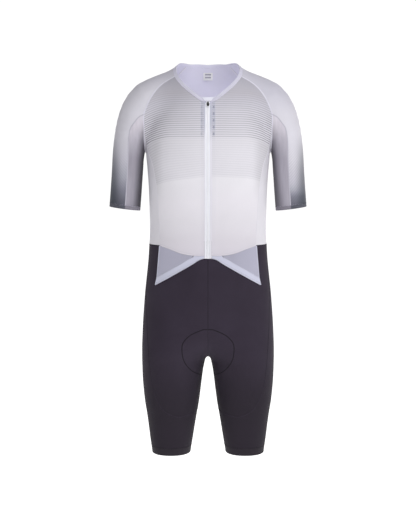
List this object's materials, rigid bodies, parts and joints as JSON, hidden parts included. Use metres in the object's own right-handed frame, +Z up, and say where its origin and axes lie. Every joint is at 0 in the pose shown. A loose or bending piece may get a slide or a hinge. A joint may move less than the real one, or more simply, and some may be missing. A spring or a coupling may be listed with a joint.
{
  "type": "cycling skinsuit",
  "caption": "One-piece short-sleeved cycling suit, filled out as worn: knit jersey half with a front zip, sewn to stretch shorts with a pad and leg grippers.",
  "frame": {"origin": "the middle of the shoulder line, where the wearer's shoulders hold the suit up", "axes": "+Z up along the trunk, +X to the wearer's left, the front faces -Y"},
  "size_m": [0.5106, 0.251, 1.013],
  "materials": {
    "jersey_white": "light knit, faint grey stripes fading downwards",
    "sleeve_grey": "light knit, graded from pale grey to blue-grey",
    "undersleeve_grey": "knit, darker grey",
    "band_lavender": "elastic band, lavender grey",
    "tail_mesh": "open mesh knit, lavender grey",
    "shorts_charcoal": "heavy stretch knit, charcoal with a purple cast",
    "hem_charcoal": "elastic gripper, charcoal",
    "pad_grey": "padded cloth",
    "zip_white": "white moulded zip parts and satin label",
    "pull_black": "black moulded pull"
  },
  "bodies": {
    "suit": {"back": "jersey_white", "cuff_left": "undersleeve_grey", "cuff_right": "undersleeve_grey", "front_left": "jersey_white", "front_right": "jersey_white", "leg_hem_left": "hem_charcoal", "leg_hem_right": "hem_charcoal", "leg_panel_left": "shorts_charcoal", "leg_panel_right": "shorts_charcoal", "neck_label": "zip_white", "neckband": "band_lavender", "seat_pad": "pad_grey", "shorts_back_left": "shorts_charcoal", "shorts_back_right": "shorts_charcoal", "shorts_front_left": "shorts_charcoal", "shorts_front_right": "shorts_charcoal", "side_left": "jersey_white", "side_right": "jersey_white", "sleeve_left": "sleeve_grey", "sleeve_right": "sleeve_grey", "tail_band_left": "band_lavender", "tail_band_right": "band_lavender", "tail_left": "tail_mesh", "tail_right": "tail_mesh", "undersleeve_left": "undersleeve_grey", "undersleeve_right": "undersleeve_grey", "zip_coil": "zip_white", "zip_garage": "jersey_white", "zip_slider": "zip_white", "zip_tape_left": "band_lavender", "zip_tape_right": "band_lavender"},
    "pull": {"zip_pull": "pull_black"}
  },
  "joints": [
    {"name": "pull_hinge", "type": "hinge", "parent": "suit", "child": "pull", "pos_m": [0, -0.10885, -0.10328], "axis": [-1, 0, 0], "range_deg": [0, 120]}
  ]
}
